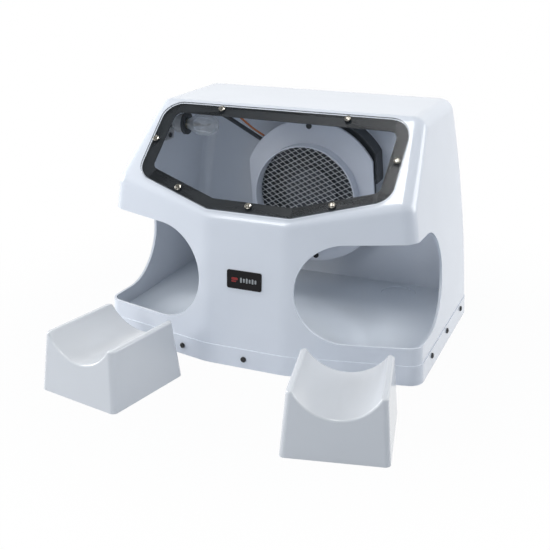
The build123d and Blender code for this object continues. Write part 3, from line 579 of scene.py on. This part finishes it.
class COLLECTOR_OT_badge(bpy.types.Operator):
    """Finish the badge plate and add its plain raised marks"""

    bl_idname = "collector.badge"
    bl_label = "Badge"

    def execute(self, context):
        chosen = context.scene.collector.badge
        gloss = moulded("badge_gloss", (0.008, 0.007, 0.008), 0.30, grain=1500, specular=0.2)
        dress(gloss, "badge_plate")
        normal = plate_normal("badge_plate", FRONT)
        across = np.array([1.0, 0.0, 0.0])
        up = np.cross(normal, across)
        up *= np.sign(up[2])
        low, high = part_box("badge_plate")
        face = (np.array(low) + np.array(high)) / 2 + normal * PLATE_TO_MARK
        for name, colour, bars in (
            ("badge_red_mark", chosen.red, RED_BARS),
            ("badge_grey_marks", chosen.grey, GREY_BARS),
        ):
            grids = []
            for x, z, half_width, half_height in bars:
                local, blocks = pillow((half_width * MM, half_height * MM, MARK_HALF_DEPTH))
                middle = face + across * x * MM + up * z * MM
                grids.append((middle + local @ np.stack([across, up, normal]), blocks))
            paint = moulded(name + "_paint", tuple(colour), 0.35, grain=1500)
            make_piece(name, grids, paint)
        return {"FINISHED"}


# ---------------------------------------------------------------- blower
MESH_EDGE = 0.05 * MM  # the strands end this far inside the disc's edge
WEAVE = 0.12 * MM  # how far a strand rises and dips at its crossings


def strand_surface(start, end, width, depth, lift, knots):
    """One strand of the mesh from start to end on the plane z = 0.

    The section is a rounded rectangle. It is carried along the straight line between the ends,
    and its height follows lift * cos(pi * t), where t counts the crossings that it has passed.
    """
    sides, softness = 8, 0.6
    stations = np.linspace(0, 1, 2 * knots + 1)
    angle = (np.arange(sides) + 0.5) * FULL_TURN / sides
    section_y = np.sign(np.cos(angle)) * abs(np.cos(angle)) ** softness * width / 2
    section_z = np.sign(np.sin(angle)) * abs(np.sin(angle)) ** softness * depth / 2
    along = end - start
    across = np.array([-along[1], along[0]]) / np.linalg.norm(along)
    middle = start + stations[:, None] * along
    rise = lift * np.cos(math.pi * knots * stations)
    x = middle[:, 0:1] + across[0] * section_y
    y = middle[:, 1:2] + across[1] * section_y
    z = rise[:, None] + section_z
    return np.stack([x, y, z], axis=-1).reshape(-1, 3), ring_faces(len(stations), sides)


class COLLECTOR_OT_grille(bpy.types.Operator):
    """Make the diamond mesh over the intake"""

    bl_idname = "collector.grille"
    bl_label = "Intake mesh"

    def execute(self, context):
        chosen = context.scene.collector.grille
        points, triangles = merged_solids("intake_mesh")[0]
        used = points[np.unique(triangles)]
        centre = (used.max(0) + used.min(0)) / 2
        radius = np.linalg.norm(used - centre, axis=1).max() - MESH_EDGE
        normal = plate_normal("intake_mesh", FRONT)
        first, second = across_frame(normal, (1, 0, 0), -chosen.roll)
        half_width, half_height = chosen.diamond_width / 2, chosen.diamond_height / 2
        edge = math.hypot(half_width, half_height)
        pitch = 2 * half_width * half_height / edge
        last = int(radius / pitch)
        strands = []
        for lean in (-1, 1):
            along = np.array([half_width, lean * half_height]) / edge
            across = np.array([-along[1], along[0]])
            for line in range(-last, last + 1):
                middle = across * line * pitch
                chord = math.sqrt(max(radius**2 - (line * pitch) ** 2, 0))
                start, end = middle - along * chord, middle + along * chord
                knots = max(2, round(2 * chord / edge))
                lift = WEAVE * (-1) ** line
                local, blocks = strand_surface(
                    start, end, chosen.strand_width, chosen.strand_depth, lift, knots
                )
                strands.append((centre + local @ np.stack([first, second, normal]), blocks))
        wire = metal("mesh_wire", (0.97, 0.98, 0.99), 0.45, bare=0.3)
        piece = make_piece("intake_diamond_mesh", strands, wire, 50)
        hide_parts("intake_mesh")
        return {"FINISHED"}


class COLLECTOR_OT_blower(bpy.types.Operator):
    """Finish the blower: plate, collar, scroll, wheel, motor and rear spigot"""

    bl_idname = "collector.blower"
    bl_label = "Blower"

    def execute(self, context):
        inside = tuple(context.scene.collector.housing.inside)
        paint = moulded("plate_paint", inside, 0.30, coat=0.2)
        scroll = moulded(
            "scroll_plastic", (0.014, 0.015, 0.018), 0.42, grain=500, depth=0.06 * MM
        )
        spigot = moulded(
            "spigot_plastic", (0.025, 0.026, 0.03), 0.38, grain=500, depth=0.04 * MM
        )
        wheel = moulded("wheel_plastic", (0.018, 0.020, 0.023), 0.35)
        steel = metal("motor_steel", (0.16, 0.16, 0.17), 0.40)
        dress(paint, "blower_plate", "intake_collar")
        dress(scroll, "scroll_housing")
        dress(wheel, "blower_wheel")
        dress(metal("rotor_steel", (0.09, 0.093, 0.10), 0.45), "motor_rotor")
        dress(steel, "motor_shaft", "motor_bearings", "motor_bracket")
        dress(metal("core_steel", (0.25, 0.25, 0.27), 0.45), "motor_stator")
        dress(spigot, "exhaust_spigot")
        dress(metal("guard_wire", (0.70, 0.71, 0.73), 0.24), "exhaust_guard")
        return {"FINISHED"}


# ---------------------------------------------------------------- lamp, wires and electrics
HOLDER_RIM_START = -151.5 * MM


class COLLECTOR_OT_lamp(bpy.types.Operator):
    """Finish the lamp, its holder and its two wires"""

    bl_idname = "collector.lamp"
    bl_label = "Lamp and wires"

    def execute(self, context):
        holder = rimmed("holder_ceramic", (0.50, 0.50, 0.49), (0.03, 0.03, 0.03), HOLDER_RIM_START)
        black = moulded("black_insulation", (0.012, 0.012, 0.013), 0.38, grain=1200)
        orange = moulded("orange_insulation", (0.62, 0.17, 0.03), 0.36, grain=1200)
        # The bulb's pale glass colour shows mostly at its rim, as a painted highlight.
        dress(clear_glass("bulb_glass_clear", (0.90, 0.93, 0.95), 0.12), "bulb_glass")
        dress(metal("filament_wire", (0.45, 0.42, 0.38), 0.35), "bulb_filament")
        dress(metal("cap_brass", (0.72, 0.62, 0.38), 0.28), "bulb_cap")
        dress(holder, "lamp_socket")
        dress(metal("bracket_steel", (0.60, 0.58, 0.56), 0.35), "lamp_bracket")
        dress(black, "wire_black")
        dress(orange, "wire_orange")
        return {"FINISHED"}


class COLLECTOR_OT_electrics(bpy.types.Operator):
    """Finish the mains parts low on the rear wall"""

    bl_idname = "collector.electrics"
    bl_label = "Electrics"

    def execute(self, context):
        black = moulded(
            "inlet_plastic", (0.018, 0.018, 0.020), 0.36, grain=700, depth=0.04 * MM
        )
        gloss = moulded("rocker_gloss", (0.014, 0.014, 0.016), 0.18, coat=0.4)
        grey = moulded("cover_plastic", (0.62, 0.65, 0.71), 0.34, coat=0.2)
        dress(black, "power_inlet", "switch_frames")
        dress(metal("pin_brass", (0.75, 0.66, 0.42), 0.25), "inlet_pins")
        dress(gloss, "fan_rocker", "lamp_rocker")
        dress(grey, "wiring_cover", "terminal_block", "run_capacitor")
        return {"FINISHED"}


# ---------------------------------------------------------------- stage
LIT_POINT = (0, 0, 0.14)
# Name, place, side and power setting of each lamp.
PANELS = (
    ("top_panel", (0.0, -0.28, 1.50), 0.4, "top"),
    ("key_panel", (-0.45, -1.39, 0.80), 0.45, "key"),
    ("left_panel", (-1.36, -0.22, 0.50), 0.7, "left"),
    ("right_panel", (1.22, 0.59, 0.48), 0.8, "right"),
)
ROOM_COLOUR = (0.84, 0.92, 1.0)
TABLE_HALF = 3.0
TABLE_FADE = (0.25, 0.55)  # the table's shadow fades out between these distances
SHADOW_LEFT = 0.97  # share of plain white in the table near the collector
CAMERA_TARGET = Vector((-0.00192, -0.0415, 0.08319))
CAMERA_TURN, CAMERA_RISE = math.radians(22.7), math.radians(20.61)
CAMERA_DISTANCE, CAMERA_LENS, CAMERA_SENSOR = 1.14591, 60.62, 36.0


def aim(thing, place, target):
    """Put a lamp or camera at a place, looking at a target."""
    thing.location = place
    thing.rotation_euler = (Vector(target) - Vector(place)).to_track_quat("-Z", "Y").to_euler()


def light_panel(name, place, side, power):
    """A soft square lamp that lights the collector's middle."""
    lamp = bpy.data.lights.new(name, "AREA")
    lamp.shape = "RECTANGLE"
    lamp.size = lamp.size_y = side
    lamp.energy = power
    panel = bpy.data.objects.new(name, lamp)
    bpy.context.scene.collection.objects.link(panel)
    aim(panel, place, LIT_POINT)


def seen_share(tree, path):
    """1 for rays from the camera, gloss and through glass, and 0 for rays that light things."""
    mirrored = combine(
        tree, "MAXIMUM", path.outputs["Is Camera Ray"], path.outputs["Is Glossy Ray"]
    )
    return combine(tree, "MAXIMUM", mirrored, path.outputs["Is Transmission Ray"])


def make_room(scene, sky):
    """The world: white behind the collector, a soft room in its gloss, and an even light.

    In the gloss the room is darker straight up and behind the viewer, as a real room is.
    """
    world = bpy.data.worlds.new("room")
    scene.world = world
    world.use_nodes = True
    tree = world.node_tree
    path = tree.nodes.new("ShaderNodeLightPath")
    direction = tree.nodes.new("ShaderNodeTexCoord")
    split = tree.nodes.new("ShaderNodeSeparateXYZ")
    tree.links.new(direction.outputs["Generated"], split.inputs[0])
    ceiling = remap(tree, split.outputs["Z"], (0.25, 0.75), (1.0, 0.12), smooth=True)
    behind = remap(tree, split.outputs["Y"], (-0.45, 0.05), (0.22, 1.0), smooth=True)
    mirrored = combine(tree, "MULTIPLY", ceiling, behind)
    strength = combine(tree, "MAXIMUM", mirrored, path.outputs["Is Camera Ray"])
    backdrop = tree.nodes["Background"]
    backdrop.inputs["Color"].default_value = (1, 1, 1, 1)
    tree.links.new(strength, backdrop.inputs["Strength"])
    room = tree.nodes.new("ShaderNodeBackground")
    room.inputs["Color"].default_value = (*ROOM_COLOUR, 1)
    room.inputs["Strength"].default_value = sky
    mix = tree.nodes.new("ShaderNodeMixShader")
    tree.links.new(seen_share(tree, path), mix.inputs["Fac"])
    tree.links.new(room.outputs["Background"], mix.inputs[1])
    tree.links.new(backdrop.outputs["Background"], mix.inputs[2])
    tree.links.new(mix.outputs["Shader"], tree.nodes["World Output"].inputs["Surface"])


def make_table(scene, colour):
    """A wide table: white with a soft shadow where it is seen, and its own colour as it bounces
    light on to the collector.
    """
    material, tree, shader, place = new_material("white_table")
    shader.inputs["Base Color"].default_value = (*colour, 1)
    shader.inputs["Roughness"].default_value = 0.6
    white = tree.nodes.new("ShaderNodeEmission")
    white.inputs["Color"].default_value = (1, 1, 1, 1)
    reach = tree.nodes.new("ShaderNodeVectorMath")
    reach.operation = "LENGTH"
    tree.links.new(place, reach.inputs[0])
    fade = remap(tree, reach.outputs["Value"], TABLE_FADE, (SHADOW_LEFT, 1.0), smooth=True)
    path = tree.nodes.new("ShaderNodeLightPath")
    cover = tree.nodes.new("ShaderNodeMixShader")
    tree.links.new(combine(tree, "MULTIPLY", seen_share(tree, path), fade), cover.inputs["Fac"])
    tree.links.new(shader.outputs["BSDF"], cover.inputs[1])
    tree.links.new(white.outputs["Emission"], cover.inputs[2])
    tree.links.new(cover.outputs["Shader"], tree.nodes["Material Output"].inputs["Surface"])
    corners = [(x * TABLE_HALF, y * TABLE_HALF, 0) for x, y in ((-1, -1), (1, -1), (1, 1), (-1, 1))]
    mesh = bpy.data.meshes.new("table")
    mesh.from_pydata(corners, [], [(0, 1, 2, 3)])
    mesh.materials.append(material)
    table = bpy.data.objects.new("table", mesh)
    scene.collection.objects.link(table)


def make_camera(scene):
    """A camera in front on the right, turned and raised about its target."""
    camera = bpy.data.objects.new("camera", bpy.data.cameras.new("camera"))
    scene.collection.objects.link(camera)
    camera.data.sensor_width = CAMERA_SENSOR
    camera.data.lens = CAMERA_LENS
    away = Vector((
        math.sin(CAMERA_TURN) * math.cos(CAMERA_RISE),
        -math.cos(CAMERA_TURN) * math.cos(CAMERA_RISE),
        math.sin(CAMERA_RISE),
    ))
    aim(camera, CAMERA_TARGET + away * CAMERA_DISTANCE, CAMERA_TARGET)
    scene.camera = camera


class COLLECTOR_OT_stage(bpy.types.Operator):
    """Make the white table, the room light, the soft lamps and the camera"""

    bl_idname = "collector.stage"
    bl_label = "Stage"

    def execute(self, context):
        scene = context.scene
        chosen = scene.collector.stage
        scene.view_settings.view_transform = "Standard"
        make_room(scene, chosen.sky)
        make_table(scene, tuple(chosen.table))
        for name, place, side, setting in PANELS:
            light_panel(name, place, side, getattr(chosen, setting))
        make_camera(scene)
        return {"FINISHED"}


# ---------------------------------------------------------------- panel and registration
OPERATORS = [
    COLLECTOR_OT_stage,
    COLLECTOR_OT_housing,
    COLLECTOR_OT_window,
    COLLECTOR_OT_badge,
    COLLECTOR_OT_blower,
    COLLECTOR_OT_grille,
    COLLECTOR_OT_lamp,
    COLLECTOR_OT_electrics,
    COLLECTOR_OT_fasteners,
]
SETTINGS = [
    HousingSettings,
    WindowSettings,
    GrilleSettings,
    BadgeSettings,
    StageSettings,
    CollectorSettings,
]


class COLLECTOR_PT_panel(bpy.types.Panel):
    """The collector's steps and settings"""

    bl_idname = "COLLECTOR_PT_panel"
    bl_label = "Nail Dust Collector"
    bl_space_type = "VIEW_3D"
    bl_region_type = "UI"
    bl_category = "Collector"

    def draw(self, context):
        chosen = context.scene.collector
        for group in (chosen.housing, chosen.window, chosen.grille, chosen.badge, chosen.stage):
            box = self.layout.box()
            for name in group.__annotations__:
                box.prop(group, name)
        for operator in OPERATORS:
            self.layout.operator(operator.bl_idname)


def register():
    for kind in [*SETTINGS, *OPERATORS, COLLECTOR_PT_panel]:
        bpy.utils.register_class(kind)
    bpy.types.Scene.collector = group_prop("Collector", "All settings", CollectorSettings)


def unregister():
    del bpy.types.Scene.collector
    for kind in reversed([*SETTINGS, *OPERATORS, COLLECTOR_PT_panel]):
        bpy.utils.unregister_class(kind)


def main():
    """Run every step in order."""
    register()
    for operator in OPERATORS:
        group, step = operator.bl_idname.split(".")
        getattr(getattr(bpy.ops, group), step)()


if __name__ == "__main__":
    main()
